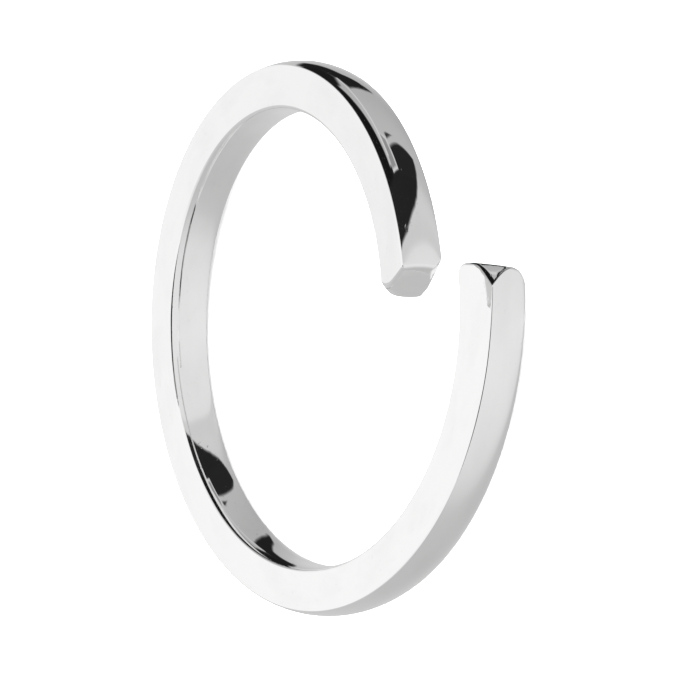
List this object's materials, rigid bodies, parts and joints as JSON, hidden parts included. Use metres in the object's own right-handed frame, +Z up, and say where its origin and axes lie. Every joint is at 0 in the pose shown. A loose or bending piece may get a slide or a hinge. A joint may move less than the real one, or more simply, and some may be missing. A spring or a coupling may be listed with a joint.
{
  "type": "wrap ring",
  "caption": "Open finger ring of polished silver: a square band with a low-domed outside whose cut ends pass each other side by side.",
  "frame": {"origin": "centre of the ring's footprint, on the surface it lies on", "axes": "+Z up, close to the axis of the finger hole; +X towards the opening; +Y from the middle of the ring towards the side on which the band climbs to its high end"},
  "size_m": [0.021, 0.0208, 0.0052],
  "materials": {
    "silver": "polished"
  },
  "bodies": {
    "root": {"band": "silver"}
  },
  "joints": []
}
